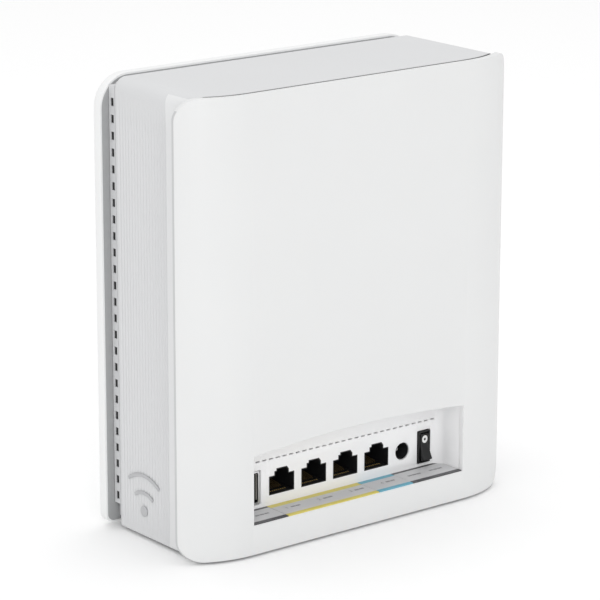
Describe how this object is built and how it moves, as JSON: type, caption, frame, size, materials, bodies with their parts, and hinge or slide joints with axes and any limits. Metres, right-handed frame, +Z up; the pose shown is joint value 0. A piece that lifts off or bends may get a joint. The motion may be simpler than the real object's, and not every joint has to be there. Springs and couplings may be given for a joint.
{
  "type": "wireless router",
  "caption": "Upright white wireless router: ribbed sleeve, wing-edged rear cover with a port bay, overhanging front cover on a vented neck.",
  "frame": {"origin": "on the floor under the middle of the router", "axes": "+Z up, +Y towards the front cover, the ports face -Y, +X to the right seen from the ports"},
  "size_m": [0.1624, 0.0676, 0.18],
  "materials": {
    "shell_white": "satin white plastic",
    "sleeve_white": "satin off-white plastic with fine ribs",
    "neck_grey": "matt light grey plastic",
    "bay_white": "satin white plastic",
    "rubber": "matt grey rubber",
    "lens": "frosted white plastic",
    "legend_grey": "printed dark grey",
    "legend_yellow": "printed yellow",
    "legend_blue": "printed blue",
    "port_black": "black plastic",
    "contact_gold": "gold-plated spring contacts",
    "socket_steel": "bright plated steel",
    "tongue_white": "white plastic",
    "switch_black": "black plastic",
    "board_green": "green solder resist",
    "can_tin": "tinned steel",
    "pad": "soft heat-conducting pad",
    "aluminium": "plain aluminium",
    "dark_part": "dark moulded part",
    "frame_grey": "matt grey plastic",
    "screw_steel": "plated steel",
    "lead_black": "black sheathed lead",
    "button_white": "satin white plastic",
    "badge_grey": "grey satin inlay"
  },
  "bodies": {
    "router": {"rear_cover": "shell_white", "body_sleeve": "sleeve_white", "foot_left_rear": "rubber", "foot_left_front": "rubber", "foot_right_rear": "rubber", "foot_right_front": "rubber", "vent_neck": "neck_grey", "front_cover": "shell_white", "led_lens": "lens", "port_bay": "bay_white", "legend_usb": "legend_grey", "legend_lan": "legend_yellow", "legend_wan": "legend_blue", "legend_power": "legend_grey", "jack_1": "port_black", "jack_1_contacts": "contact_gold", "jack_2": "port_black", "jack_2_contacts": "contact_gold", "jack_3": "port_black", "jack_3_contacts": "contact_gold", "jack_4": "port_black", "jack_4_contacts": "contact_gold", "usb_shell": "socket_steel", "usb_tongue": "tongue_white", "dc_inlet": "port_black", "dc_pin": "socket_steel", "switch_box": "switch_black", "main_board": "board_green", "processor_can": "can_tin", "radio_can_left": "can_tin", "radio_can_right": "can_tin", "thermal_pad": "pad", "heat_sink": "aluminium", "line_transformer_a": "dark_part", "line_transformer_b": "dark_part", "capacitor": "dark_part", "heat_spreader": "aluminium", "inner_frame": "frame_grey", "board_screw_1": "screw_steel", "board_screw_2": "screw_steel", "board_screw_3": "screw_steel", "board_screw_4": "screw_steel", "bay_screw_left": "screw_steel", "bay_screw_right": "screw_steel", "antenna_top_left": "dark_part", "antenna_top_right": "dark_part", "antenna_side_left": "dark_part", "antenna_side_right": "dark_part", "lead_top_left": "lead_black", "lead_side_left": "lead_black", "lead_top_right": "lead_black", "lead_side_right": "lead_black", "light_guide": "lens", "badge_arc_outer": "badge_grey", "badge_arc_inner": "badge_grey", "badge_dot": "badge_grey"},
    "rocker": {"power_rocker": "switch_black"},
    "pairing": {"pairing_button": "button_white"},
    "reset": {"reset_button": "frame_grey"}
  },
  "joints": [
    {"name": "power_switch", "type": "hinge", "parent": "router", "child": "rocker", "pos_m": [0.0449, -0.0185, 0.0207], "axis": [1, 0, 0], "range_deg": [0, 24]},
    {"name": "pairing_press", "type": "slide", "parent": "router", "child": "pairing", "axis": [-1, 0, 0], "range_m": [0, 0.0006], "stiffness_N_per_m": 900},
    {"name": "reset_press", "type": "slide", "parent": "router", "child": "reset", "axis": [0, 0, 1], "range_m": [0, 0.0005], "stiffness_N_per_m": 900}
  ]
}
